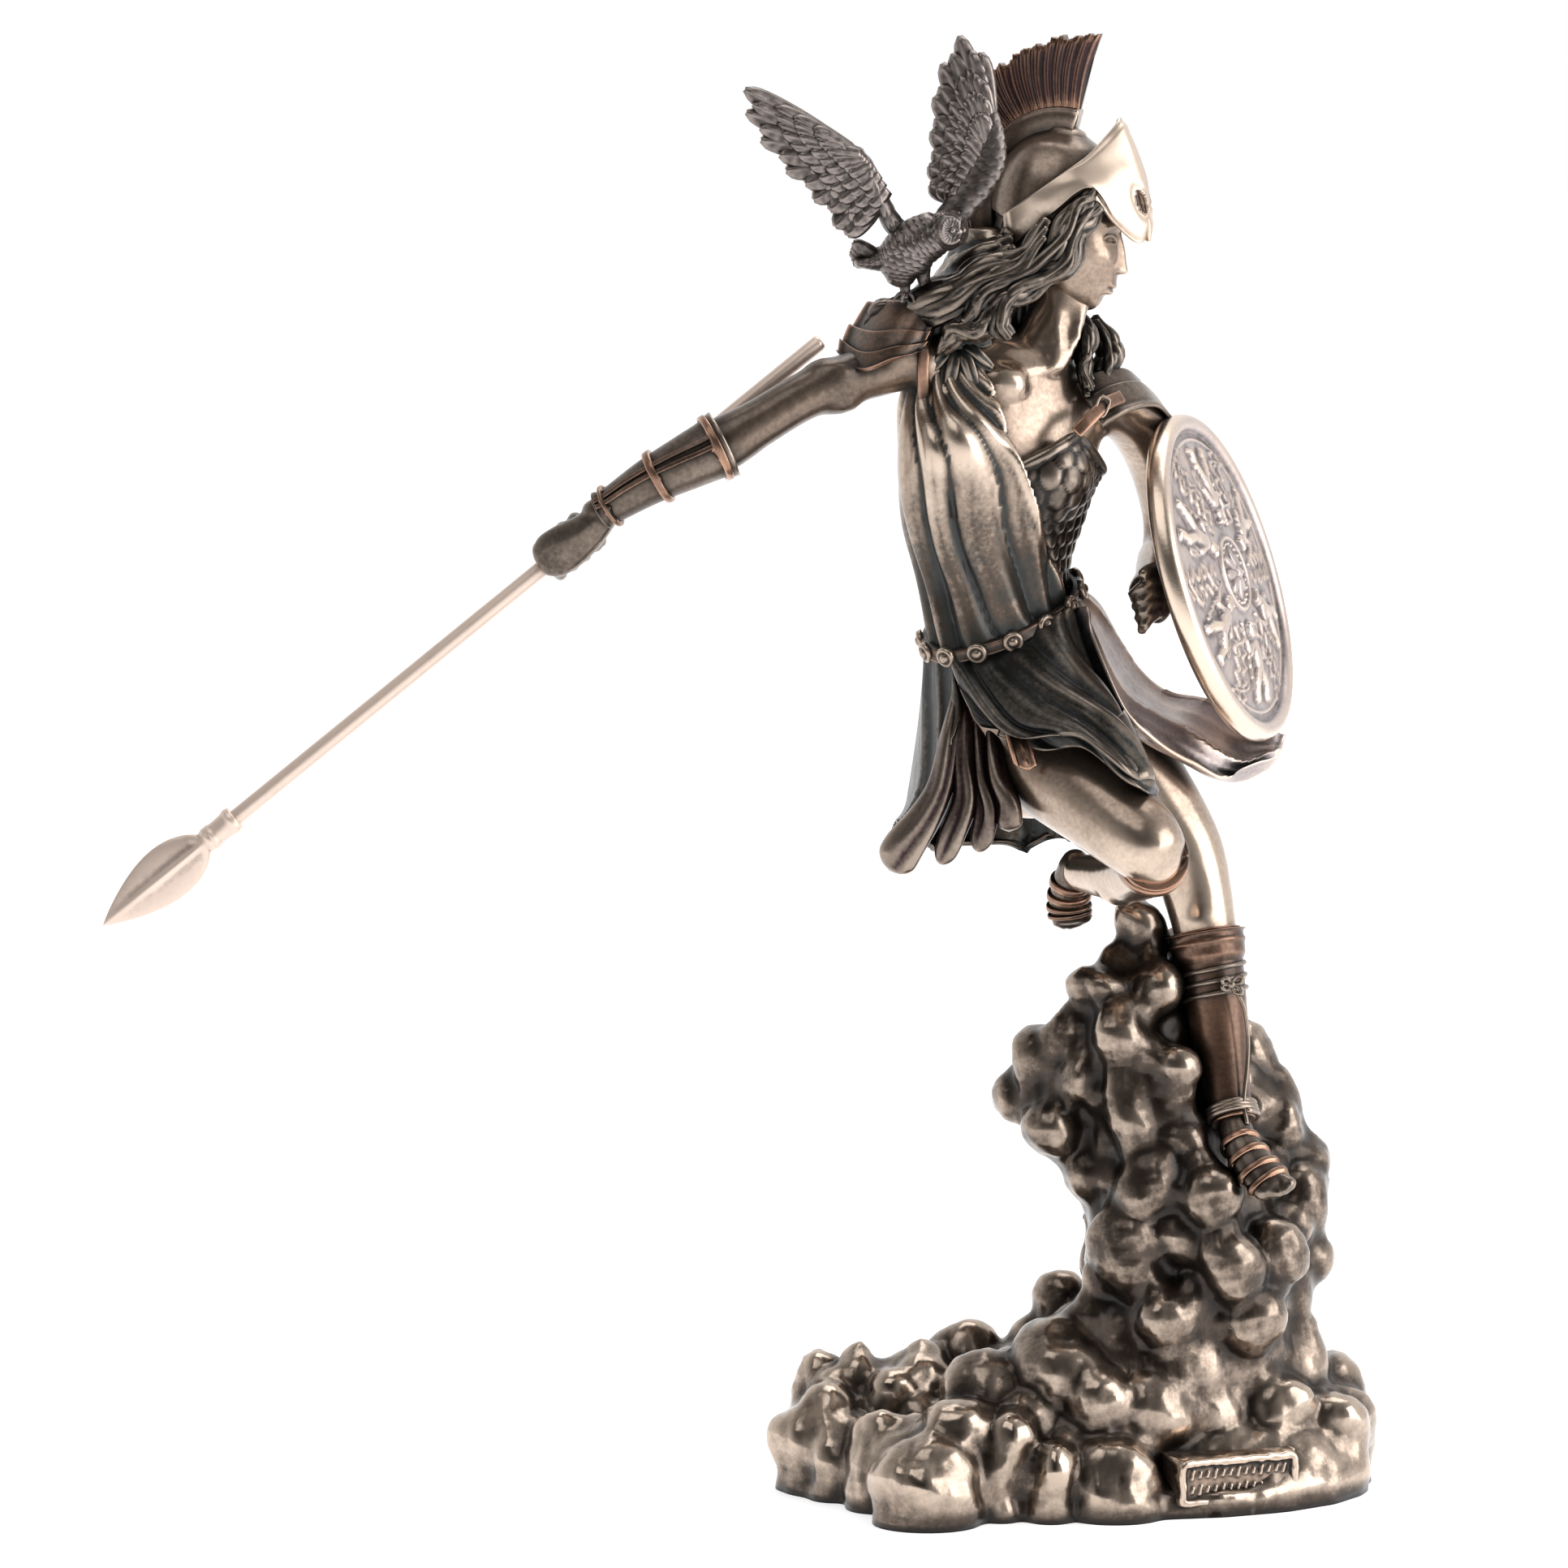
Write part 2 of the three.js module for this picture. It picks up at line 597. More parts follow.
const RIGHT_THIGH = [
  [-12, -4, 173, 12, 12, 45],
  [-5.9, -14, 167, 11.2, 11, 45],
  [2.8, -24, 161.4, 10.4, 10.4, 45],
  [11.4, -33, 155.2, 9.4, 9.4, 45],
  [15.4, -36.5, 151.4, 8.2, 8.2, 45],
];
const RIGHT_SHIN = [
  [15.2, -36, 151.4, 6.8, 7, 0],
  [14.4, -27, 147.4, 6.9, 6.9, 0],
  [10, -15, 143.8, 6.2, 6.2, 0],
  [4.4, -4, 142.6, 4.8, 5, 0],
  [0, 4, 142.2, 4, 4.2, 0],
];
const RIGHT_FOOT = [
  [-0.3, 5.5, 143.4, 3.8, 4.4, 0],
  [-1.4, 8, 138.8, 4.2, 4, 0],
  [-1.5, 10.5, 134, 4.6, 3, 0],
  [-1.1, 11.5, 130.6, 4.4, 2, 0],
];
const LEFT_LEG = [
  [4, 9, 176, 11, 11, 45],
  [11.5, 10.5, 167, 10.6, 10.6, 42],
  [18.5, 10.5, 157, 10, 10, 40],
  [24.8, 9, 146, 9.1, 9.1, 40],
  [28.2, 6.5, 134.5, 7.8, 7.8, 40],
  [30.2, 4, 123, 6.9, 6.9, 40],
  [31.8, 2, 111.5, 6.3, 6.3, 40],
  [33, -1, 101, 5.4, 5.4, 40],
  [34.4, -5, 91.5, 4.3, 4.3, 40],
  [35.6, -9, 84.5, 4.1, 4.1, 40],
];
const LEFT_FOOT = [
  [35.2, -7.6, 86.5, 3.9, 4.4, 0],
  [36.8, -12.5, 81.8, 4.2, 4.2, 0],
  [40, -17, 77.4, 4.8, 3.4, 0],
  [43.6, -20.4, 73.6, 4.8, 2.4, 0],
];
const LEFT_TOES = [[47.6, -20.8, 74], [46.4, -21.6, 73], [44.8, -22, 72.4], [43.2, -22, 72.2], [41.6, -21.6, 72.4]];
const RIGHT_TOES = [[2.6, 12.2, 130.2], [0.8, 12.6, 129], [-1, 12.8, 128.4], [-2.7, 12.6, 128.4], [-4.3, 12.2, 129]];
const TOE_RADII = [[1.9, 2.6, 2.6], [1.3, 2.3, 2.3], [1.3, 2.3, 2.3], [1.2, 2.2, 2.2], [1.2, 2.1, 2.1]];

// Head, seen along its own axes: forward, to its right, and up

const HEAD_CENTRE = [-3, 2, 287.8];
const HEAD_YAW = degrees(-15);
const HEAD_NOD = degrees(10);
const FORWARD = new THREE.Vector3(
  Math.cos(HEAD_YAW) * Math.cos(HEAD_NOD),
  Math.sin(HEAD_YAW) * Math.cos(HEAD_NOD),
  -Math.sin(HEAD_NOD),
);
const HEAD_RIGHT = new THREE.Vector3(Math.sin(HEAD_YAW), -Math.cos(HEAD_YAW), 0);
const HEAD_UP = HEAD_RIGHT.clone().cross(FORWARD);

function onHead([forward, right, up]) {
  return pose(HEAD_CENTRE)
    .addScaledVector(FORWARD, forward * UNIT)
    .addScaledVector(HEAD_RIGHT, right * UNIT)
    .addScaledVector(HEAD_UP, up * UNIT);
}

function headLump(place, radii, detail = 1) {
  const scaled = radii.map((radius) => radius * UNIT);
  const frame = new THREE.Matrix4().makeBasis(FORWARD, HEAD_RIGHT.clone().negate(), HEAD_UP);
  const geometry = new THREE.IcosahedronGeometry(1, detail).scale(...scaled).applyMatrix4(frame);
  const centre = onHead(place);
  return solid(geometry.translate(centre.x, centre.y, centre.z));
}

function head() {
  const nose = [[12.2, 0, 1.5], [13.6, 0, -3], [14.6, 0, -6.4]].map((place, i) => (
    [...onHead(place).toArray(), (0.9 + 0.35 * i) * UNIT, (1 + 0.3 * i) * UNIT, -105]
  ));
  return join(
    headLump([-1, 0, 2], [13.4, 11.4, 14.6], 0),
    headLump([4.6, 0, -6.5], [8.6, 8.4, 10.6]),
    headLump([9, 0, -15], [4, 4.4, 3.4], 0),
    headLump([12.2, 0, -10.8], [1.8, 3, 2], 0),
    limb(nose, 4, 2),
  );
}

// Helmet pushed back on the head: bowl, neck guard and the face plate over the brow.
const VISOR_HALF = [
  [[7.4, 0, 26.5], [13.2, 0, 18.5], [17, 0, 9]],
  [[6.2, 4.5, 23.5], [13, 5, 13.5], [18, 4.4, 0.8]],
  [[3.2, 8.6, 18.5], [9.6, 9.2, 11], [11.4, 9.6, 3.6]],
  [[0, 11.6, 11.5], [3, 12.4, 9.4], [5.4, 12, 7.8]],
  [[-3, 13, 2], [-1.4, 13.2, 1], [0.2, 13, 0.2]],
  [[-6.6, 12.2, -8], [-5.4, 12.2, -8.6], [-4.2, 12, -9.2]],
];
const EYE_HOLE = [16.8, 3.1, 9.4];
// The bowl on the head's own axes: forward, up, half depth and half width.
const BOWL = [
  [-8.6, -11, 7.6, 11],
  [-7.4, -7, 9.4, 12.4],
  [-4.6, -1, 12.6, 13.2],
  [-4, 6, 13.6, 13.4],
  [-4, 13, 12.4, 12],
  [-4, 18.5, 9, 8.6],
  [-4, 21.6, 4, 3.8],
];

function helmet() {
  const bowl = BOWL.map(([forward, up, depth, width]) => (
    [...onHead([forward, 0, up]).toArray(), depth * UNIT, width * UNIT, -15]
  ));
  const mirrored = VISOR_HALF.map((column) => column.map(([forward, right, up]) => [forward, -right, up]));
  const columns = [...mirrored.slice(1).reverse(), ...VISOR_HALF];
  const grid = [0, 1, 2].map((row) => columns.map((column) => onHead(column[row]).toArray()));
  const eyeHoles = [-1, 1].map((side) => headLump([EYE_HOLE[0], side * EYE_HOLE[1], EYE_HOLE[2]], [2.6, 1.5, 2.2], 0));
  const visor = cloth(grid, VISOR_THICKNESS, { across: 8, down: 2 });
  return join(
    limb(bowl, 10, 5, 0.3),
    join(visor, headLump([2.6, 0, 12], [10.4, 11.4, 10.4], 0)).subtract(join(eyeHoles)),
  );
}

// The crest stands on the helmet's middle line: a holder band and a fan of bristle tufts.
const CREST_CENTRE = [-4, 5];
const CREST_BEARINGS = [86, 236];
const CREST_TIPS = [39.5, 35.5, 31, 27.5, 24.5, 22.8, 22];
const HOLDER_RISE = 6;
const CREST_TUFTS = 16;
const TUFT_NOTCH = 0.7;

function bowlReach(bearing) {
  return 1 / Math.hypot(Math.cos(bearing) / 13.4, Math.sin(bearing) / 16.6);
}

// Around the crest's arc, each section runs from inside the bowl up past the holder to the tips.
function crest() {
  const [first, last] = CREST_BEARINGS.map(degrees);
  const tips = new THREE.SplineCurve(CREST_TIPS.map((far, i) => new THREE.Vector2(i, far)));
  const half = CREST_THICKNESS / 2 / UNIT;
  const rings = Array.from({ length: CREST_TUFTS + 1 }, (_, i) => {
    const bearing = first + ((last - first) * i) / CREST_TUFTS;
    const bowl = bowlReach(bearing);
    const holder = bowl + HOLDER_RISE;
    const tip = tips.getPoint(i / CREST_TUFTS).y + (i % 2 ? TUFT_NOTCH : -TUFT_NOTCH);
    const side = [[bowl - 2, half], [holder, half], [holder, 0.55 * half], [tip, 0.4 * half]];
    const section = [...side, ...side.map(([far, aside]) => [far, -aside]).reverse()];
    return section.map(([far, aside]) => (
      onHead([CREST_CENTRE[0] + far * Math.cos(bearing), aside, CREST_CENTRE[1] + far * Math.sin(bearing)])
    ));
  });
  const middle = (ring) => ring[1].clone().lerp(ring[ring.length - 2], 0.5);
  return skin(rings, middle(rings[0]), middle(rings[rings.length - 1]));
}

// Hair: waving locks, each a run of [x, y, z, radius].
const LOCKS = [
  [[1, -11, 297, 2.2], [-3, -13, 294.5, 3], [-6.5, -15, 288.5, 3.2], [-12, -16, 282, 3.2], [-18, -18, 278, 3.2], [-23.5, -19, 273, 3], [-26.5, -19, 268, 2]],
  [[3, -10, 293.5, 2], [-1, -13, 289, 3], [-4, -14.5, 282, 3], [-10, -16.5, 277.5, 3], [-16.5, -18.5, 274, 3], [-19.5, -19.5, 268.5, 2.6], [-17, -19, 265, 1.2]],
  [[-8, -13, 287.5, 3], [-14.5, -15, 281, 4], [-22, -16, 277, 5], [-30, -16, 273, 5], [-38, -11, 269.5, 4.6], [-44, -9, 270, 3], [-47, -9, 268, 1.8]],
  [[-17, -10, 282, 5], [-24.5, -10, 277, 7], [-31.5, -8, 271, 6.4], [-38.5, -4, 267, 5], [-44, -2, 266, 3.4]],
  [[-17, -2, 286, 9], [-22, 1, 276, 10], [-25, 5, 266, 9.4], [-26, 9, 256, 6.4], [-25, 12, 246, 3]],
  [[-12, 8, 284, 9], [-12, 11, 273, 9], [-13, 12, 262, 7], [-13, 13, 252, 3.6]],
  [[-20, -16, 271, 4], [-24.5, -18, 267.5, 3.6], [-29, -18, 266.5, 3], [-31, -16.5, 262, 1.8]],
  [[-1, 2, 268, 2.2], [1.5, 0, 263, 2.6], [0.5, -2, 258, 2], [2, -3.5, 252.5, 1.4]],
  [[2.5, 6, 267, 2.2], [6.5, 5, 261, 3], [5.5, 3, 256, 2.4], [8, 2.5, 250.5, 1.4]],
];

function hair() {
  return LOCKS.map((lock) => (
    bodyPart(lock.map(([x, y, z, radius]) => [x, y, z, radius, radius, 90]), 4, Math.ceil(0.6 * lock.length))
  ));
}

// Dress: bodice with one shoulder, belt with studs, and the skirts

const NECKLINE = { through: [-16.5, 0, 241], normal: [0.94, 0.06, 0.338] };
const BODICE_EASE = 1.5;
const BODICE_PLEATS = 7;
const PLEAT_DEPTH = 0.06;
const SHOULDER_KNOT = [-28, -12.5, 263];
const CORSELET_EASE = 0.8;
const CORSELET_EDGE = { through: [-15, 0, 239], normal: [-0.41, -0.1, 0.91] };
const BACK_SKIRT = [
  [[-29.5, -10, 195.5], [-34, 2, 195], [-32, 10, 196.5], [-18, 12, 198], [-7, 10, 200]],
  [[-27.5, -16, 181.5], [-35, 2, 178.5], [-33.5, 17, 177], [-16.5, 22, 178], [-1, 23, 178]],
  [[-31, -18, 168], [-37.5, 1, 166], [-34.5, 21, 163.5], [-16.5, 27, 164.5], [1, 28, 164]],
  [[-34, -19, 158.5], [-38.5, -1, 156.5], [-36, 23, 154], [-18.5, 30, 153], [-0.5, 31, 153]],
  [[-42, -18, 150.5], [-44, -4, 148.5], [-39, 20, 148], [-21, 29, 147], [-3, 32, 147]],
  [[-47, -15, 145], [-47.5, -6, 143], [-40, 15, 146], [-22.5, 27, 145], [-5, 31, 146]],
];
const OVERSKIRT = [
  [[-30.5, -10, 197], [-21.5, -12, 196.5], [-13, -13, 198.5], [-5, -11, 203], [-0.5, -5, 205.5]],
  [[-28.5, -16, 189], [-20, -20, 188], [-11, -23, 189.5], [-2, -22, 191], [4, -9, 194]],
  [[-25, -20, 182], [-16, -27, 180], [-5.5, -31, 181.5], [4.5, -32, 180], [11, -19, 182]],
  [[-22, -22, 179], [-12, -30, 176.5], [-2, -36, 177.5], [9, -40.5, 169.5], [17.5, -31, 167]],
];
const SIDE_FLIGHT = [
  [[-3, 8, 208], [-1.5, 3, 206.5], [-1, -4, 204.5], [-1.5, -8, 203]],
  [[5, 14, 203.5], [4, 5, 200], [2.5, -6, 196.5], [0, -12, 195.5]],
  [[14, 21, 188], [12, 9, 185.5], [9, -5, 182], [6.5, -16, 180]],
  [[22, 26, 181.5], [19.5, 12, 179], [16.5, -3, 175.5], [14, -14, 172.5]],
  [[31.5, 28, 180], [29, 15, 176], [26, 5, 169.5], [23.5, -3, 166.5]],
  [[41, 27, 176], [40, 19, 171.5], [37, 12, 165.5], [33, 6, 162]],
  [[48.5, 25, 171.5], [48, 21, 170], [47, 17, 168.5], [45.5, 14, 166]],
];
const INNER_FOLDS = [
  [[-26, -8, 185.5], [-26, -14, 176], [-27, -17, 166], [-26, -19, 158], [-26.5, -18.5, 150]],
  [[-29.5, -8, 180], [-29.5, -13, 168], [-31, -16, 156], [-34, -15, 147]],
];
const STRAP_ENDS = [
  [[-20, -14, 178], [-21, -19, 170], [-20, -21, 162], [-18, -21, 154.5]],
  [[-17, -12, 188], [-15.5, -21, 180], [-14, -24.5, 174], [-12.5, -25, 169]],
];
const BELT_CENTRE = [-17.5, 0, 200.5];
const BELT_RADII = [17.2, 14.6];
const BELT_YAW = degrees(36);
const BELT_SLOPE = [0.42, 0.17];
const STUD_COUNT = 10;

function bodice() {
  const stations = posed(grown(TORSO.slice(3), BODICE_EASE));
  const pleats = (angle, along) => 1 + PLEAT_DEPTH * (1 - 0.5 * along) * Math.cos(BODICE_PLEATS * angle);
  const shell = limb(stations, 2 * BODICE_PLEATS, 5, 0.6, pleats);
  const breast = bodyLump(RIGHT_BREAST, BREAST_RADII);
  const knot = bodyLump(SHOULDER_KNOT, [5.4, 4.4, 4.4], 0);
  const pastNeckline = beyond(pose(NECKLINE.through), vector(NECKLINE.normal), FIGURE_HEIGHT);
  return join(shell, breast).subtract(pastNeckline).add(knot);
}

function corselet() {
  const shell = join(
    bodyPart(grown(TORSO.slice(3, 9), CORSELET_EASE), 9, 3),
    bodyLump(LEFT_BREAST, BREAST_RADII.map((radius) => radius + CORSELET_EASE)),
  );
  return shell.subtract(beyond(pose(CORSELET_EDGE.through), vector(CORSELET_EDGE.normal), FIGURE_HEIGHT));
}

// A point on the sloping belt line at a bearing around the waist, and how far out from it.
function beltPoint(bearing, out) {
  const [side, front] = BELT_RADII;
  const [u, v] = [(side + out) * Math.cos(bearing), (front + out) * Math.sin(bearing)];
  const x = u * Math.cos(BELT_YAW) - v * Math.sin(BELT_YAW);
  const y = u * Math.sin(BELT_YAW) + v * Math.cos(BELT_YAW);
  const [cx, cy, cz] = BELT_CENTRE;
  return pose([cx + x, cy + y, cz + BELT_SLOPE[0] * x + BELT_SLOPE[1] * y]);
}

function belt() {
  const steps = 2 * STUD_COUNT;
  const profile = [[-1, -1], [1, -1], [1, 1], [-1, 1]];
  const points = [];
  const faces = [];
  for (let i = 0; i < steps; i += 1) {
    for (const [out, up] of profile) {
      const point = beltPoint((i / steps) * 2 * Math.PI, (out * BELT_THICKNESS) / UNIT);
      points.push(point.add(vector([0, 0, (up * BELT_HEIGHT) / 2])));
    }
    for (let k = 0; k < 4; k += 1) {
      const [a, b] = [4 * i + k, 4 * i + ((k + 1) % 4)];
      const [c, d] = [(a + 4) % (4 * steps), (b + 4) % (4 * steps)];
      faces.push(a, d, b, a, c, d);
    }
  }
  const studs = Array.from({ length: STUD_COUNT }, (_, i) => {
    const centre = beltPoint(((i + 0.5) / STUD_COUNT) * 2 * Math.PI, BELT_THICKNESS / UNIT);
    const radius = STUD_DIAMETER / 2;
    return lump(centre, [radius, radius, radius], -1);
  });
  return join(surface(points, faces), studs);
}

function skirts() {
  const strip = (run, width) => {
    const stations = run.map((point, i) => [...point, width * (0.8 + 0.1 * i), 1.1, 30]);
    return bodyPart(stations, 4, 3, 0.4);
  };
  return join(
    cloth(posedGrid(BACK_SKIRT), CLOTH_THICKNESS, { across: 10, down: 3, folds: 3, depth: 1.6 * UNIT }),
    cloth(posedGrid(OVERSKIRT), CLOTH_THICKNESS, { across: 7, down: 3, folds: 2, depth: 1.2 * UNIT }),
    cloth(posedGrid(SIDE_FLIGHT), CLOTH_THICKNESS, { across: 3, down: 6, folds: 1, depth: 1.6 * UNIT }),
    INNER_FOLDS.map((run) => strip(run, 2.2)),
    STRAP_ENDS.map((run) => strip(run, 3.2)),
  );
}

// Armour plates and straps

const PAULDRON = [
  [[-47.4, -4, 271.3], [-42.6, -11, 272.3], [-37.1, -15, 271.5], [-32.2, -16, 268.3]],
  [[-52, -7, 265.2], [-46.5, -17, 264], [-40.4, -20, 264.9], [-34.6, -18, 265.3]],
  [[-54, -10, 260.8], [-48.7, -19, 257.6], [-42, -22, 260.1], [-36.2, -19, 262.7]],
];
const BRACER = RIGHT_ARM.slice(5, 9);
const BRACER_BANDS = [0, 4, 8];
const GREAVE = [[29.3, 5.2, 128.5, 7.2, 7.2, 40], ...LEFT_LEG.slice(5, 9)];
const GREAVE_BANDS = [0, 7];
const BAND_SWELL = 1.09;
const KNEE_BAND = [[15.4, -35.4, 150.6, 7.7, 7.7, 0], [15, -31, 149, 7.9, 7.9, 0]];
const LEFT_SHOULDER_PLATE = [
  [[-1, 0, 257], [4, 1, 259.5], [10, 6, 260], [14, 14, 257]],
  [[3, -4, 251], [9, -1, 254], [15, 5, 254.5], [19, 14, 251]],
];

// A sleeve over a limb, in steps along it, with raised bands on some of the steps.
function sleeve(stations, ease, steps, raised) {
  const rise = (angle, along) => {
    const step = Math.round(along * steps);
    return raised.includes(step) || raised.includes(step - 1) ? BAND_SWELL : 1;
  };
  return limb(posed(grown(stations, ease)), 8, steps, 0, rise);
}

function armour() {
  return join(
    cloth(posedGrid(PAULDRON), CLOTH_THICKNESS, { across: 4, down: 2 }),
    cloth(posedGrid(LEFT_SHOULDER_PLATE), CLOTH_THICKNESS, { across: 3, down: 1 }),
    sleeve(BRACER, 0.7, 9, BRACER_BANDS),
    sleeve(GREAVE, 0.7, 8, GREAVE_BANDS),
    bodyPart(KNEE_BAND, 8, 1, 0),
  );
}

// Hands

const SPEAR_BACK = pose([-58.4, -11, 263.8]).sub(pose([-219.2, -22, 133.6])).normalize();
const GRIP = pose([-115, -15, 217.9]);
const SPEAR_SIDE = new THREE.Vector3(0, 1, 0).cross(SPEAR_BACK).normalize();
const SPEAR_NEAR = SPEAR_BACK.clone().cross(SPEAR_SIDE);

function aroundShaft(along, bearing, reach) {
  return GRIP.clone()
    .addScaledVector(SPEAR_BACK, along)
    .addScaledVector(SPEAR_SIDE, reach * Math.cos(bearing))
    .addScaledVector(SPEAR_NEAR, reach * Math.sin(bearing));
}

function rightHand() {
  const reach = SHAFT_DIAMETER / 2 + SEAT_GAP + FINGER_DIAMETER / 2;
  const fingers = [-1.5, -0.5, 0.5, 1.5].map((step) => {
    const bearings = [215, 165, 115, 65, 15, -30].map(degrees);
    const stations = bearings.map((bearing, i) => {
      const radius = (FINGER_DIAMETER / 2) * (1.08 - 0.05 * i);
      return [...aroundShaft(step * FINGER_DIAMETER * 0.98, bearing, reach).toArray(), radius, radius, 51];
    });
    return limb(stations, 4, 3);
  });
  const thumb = [[0.9, 260], [1.5, 300], [1.9, 340]].map(([along, bearing]) => {
    const place = aroundShaft(along * FINGER_DIAMETER, degrees(bearing), reach);
    return [...place.toArray(), FINGER_DIAMETER / 2, FINGER_DIAMETER / 2, 51];
  });
  return join(bodyPart(RIGHT_PALM, 7, 2), fingers, limb(thumb, 4, 2));
}

function gripHole() {
  const radius = SHAFT_DIAMETER / 2 + SEAT_GAP;
  const hole = new THREE.CylinderGeometry(radius, radius, 12 * FINGER_DIAMETER, 12);
  hole.applyQuaternion(new THREE.Quaternion().setFromUnitVectors(new THREE.Vector3(0, 1, 0), SPEAR_BACK));
  return solid(hole.translate(GRIP.x, GRIP.y, GRIP.z));
}

function leftHand() {
  const fingers = [0, 1, 2, 3].map((i) => bodyPart([
    [13 - 0.3 * i, -6.6, 210 - 2.9 * i, 1.4, 1.4, 35],
    [15.6 - 0.3 * i, -10.4, 208.8 - 2.9 * i, 1.4, 1.4, 70],
    [18.6 - 0.3 * i, -8.6, 207.4 - 2.8 * i, 1.3, 1.3, 120],
  ], 4, 2));
  return join(bodyLump([14.4, -6.4, 205.4], [4.4, 3.6, 6], 0), fingers);
}

function feet() {
  const toes = (places) => places.map((place, i) => bodyLump(place, TOE_RADII[i], -1));
  return join(
    bodyPart(LEFT_FOOT, 7, 3),
    toes(LEFT_TOES),
    bodyPart(RIGHT_FOOT, 7, 3),
    toes(RIGHT_TOES),
  );
}

function figure() {
  const whole = join(
    bodyPart(TORSO.slice(0, 4), 8, 2),
    bodyPart(TORSO.slice(7), 8, 2),
    bodyPart(NECK, 8, 3),
    bodyPart(RIGHT_ARM, 8, 8),
    bodyPart(LEFT_ARM, 7, 9),
    bodyPart(RIGHT_THIGH, 9, 3),
    bodyPart(RIGHT_SHIN, 8, 3),
    bodyPart(LEFT_LEG, 8, 7),
    feet(),
    rightHand(),
    leftHand(),
    head(),
    helmet(),
    crest(),
    hair(),
    bodice(),
    corselet(),
    belt(),
    skirts(),
    armour(),
  );
  return whole.subtract(gripHole());
}

// The boot and foot with the seat's clearance all round, for the clouds under them.
function bootSpace() {
  const wide = (stations) => grown(posed(stations), SEAT_GAP);
  const toes = LEFT_TOES.map((place, i) => (
    lump(pose(place), TOE_RADII[i].map((radius) => radius * UNIT + 2 * SEAT_GAP), -1)
  ));
  return join(
    limb(wide(LEFT_LEG), 8, 7),
    limb(wide(grown(GREAVE, 1.6)), 8, 2, 0.2),
    limb(wide(LEFT_FOOT), 7, 3, 0.75),
    toes,
  );
}

// Owl: places and sizes in 60ths of its height, from the perch under its feet

const OWL_PARTS = 60;
const OWL_UNIT = OWL_HEIGHT / OWL_PARTS;
const PERCH = pose([-38.5, -15, 272.8]);

const OWL_BODY = [
  [-12, 1, 8.5, 2.4, 1, 60],
  [-8, 1, 8.5, 3.4, 1.8, 60],
  [-5, 1, 9.5, 4.6, 3.4, 60],
  [-1, 0, 11.5, 5.8, 5.2, 60],
  [3, -1, 13.4, 5.4, 5, 60],
  [6.5, -2.4, 15, 4, 4, 60],
];
const OWL_HEAD = [8, -3, 15.8];
const OWL_HEAD_RADII = [4.2, 4.2, 4];
const BEAK = [[9.6, -6, 16, 0.9, 0.9, 0], [10.2, -7.4, 14.6, 0.3, 0.3, 0]];
const LEGS = [
  [[-1.6, 0, 9, 2, 2, 0], [-1.4, 0, 4, 1.3, 1.3, 0], [-1, 0, 0.8, 1, 1, 0]],
  [[2.4, 0, 9, 2, 2, 0], [3, 0.4, 4, 1.3, 1.3, 0], [3.6, 0.6, 0.8, 1, 1, 0]],
];

// Each wing: its arm from shoulder to wrist to tip, then each feather's tip and root.
const LEFT_WING = {
  arm: [
    [2.5, 1, 13, 2.6, 3.4, 0],
    [-3.5, 1, 16.6, 2.2, 3.2, 0],
    [-7.5, -1, 24, 1.8, 3.2, 0],
    [-10.4, -2, 30.5, 1.7, 3, 0],
    [-15, -3, 33.8, 1.6, 2.6, 0],
    [-20.6, -4, 36.6, 1.2, 1.6, 0],
  ],
  feathers: [
    [[-17, -4, 35.5], [-37, -8, 47], 2.6],
    [[-16, -4, 34], [-36.5, -8, 41.4], 2.6],
    [[-14, -4, 32.5], [-32.5, -7, 34.5], 2.8],
    [[-12, -3.6, 30.5], [-26, -5.4, 27], 3],
    [[-9.5, -3, 28], [-19.5, -4.4, 20], 3],
    [[-7, -2, 23.5], [-15, -3.4, 13.6], 3],
  ],
};
const RIGHT_WING = {
  arm: [
    [5, 1, 13.4, 2.6, 3.4, 90],
    [10, 3, 19.5, 2.2, 3.4, 90],
    [14.6, 4, 25.5, 1.9, 3.6, 90],
    [17.4, 5, 30.5, 1.8, 3.6, 90],
    [18, 5.6, 36, 1.6, 3, 90],
    [17.6, 6, 41.5, 1.2, 2, 90],
  ],
  feathers: [
    [[17, 6, 37], [15.6, 6.6, 55], 2.8],
    [[16.6, 6, 36], [10.4, 7, 58.6], 2.8],
    [[15.6, 6, 35], [6.4, 7, 51], 3],
    [[14.6, 5.6, 32], [5, 6, 43], 3],
    [[13, 5, 28], [4.4, 5, 34.6], 3],
    [[11, 4.4, 23.4], [3.6, 4, 26], 3],
  ],
};

const perched = (stations) => stations.map(([x, y, z, side, front, yaw]) => [
  ...vector([x, y, z]).multiplyScalar(OWL_UNIT).add(PERCH).toArray(),
  side * OWL_UNIT,
  front * OWL_UNIT,
  yaw,
]);
const owlPart = (stations, sides, rings, rounding) => limb(perched(stations), sides, rings, rounding);

// A feather is a flat blade, widest past its middle, lying in the wing's plane.
function feather([root, tip, width], flatYaw) {
  const flat = FEATHER_THICKNESS / 2 / OWL_UNIT;
  const middle = root.map((value, axis) => value + 0.62 * (tip[axis] - value));
  return owlPart([
    [...root, flat, 0.7 * width, flatYaw],
    [...middle, flat, width, flatYaw],
    [...tip, 0.6 * flat, 0.5 * width, flatYaw],
  ], 4, 2, 0.9);
}

function wing({ arm, feathers }) {
  const blades = feathers.map(([root, tip, width], i) => {
    const layer = (i % 2) * 1.1 * (FEATHER_THICKNESS / OWL_UNIT);
    return feather([root, [tip[0], tip[1] + layer, tip[2]], width], 90);
  });
  return join(owlPart(arm, 4, 4), blades);
}

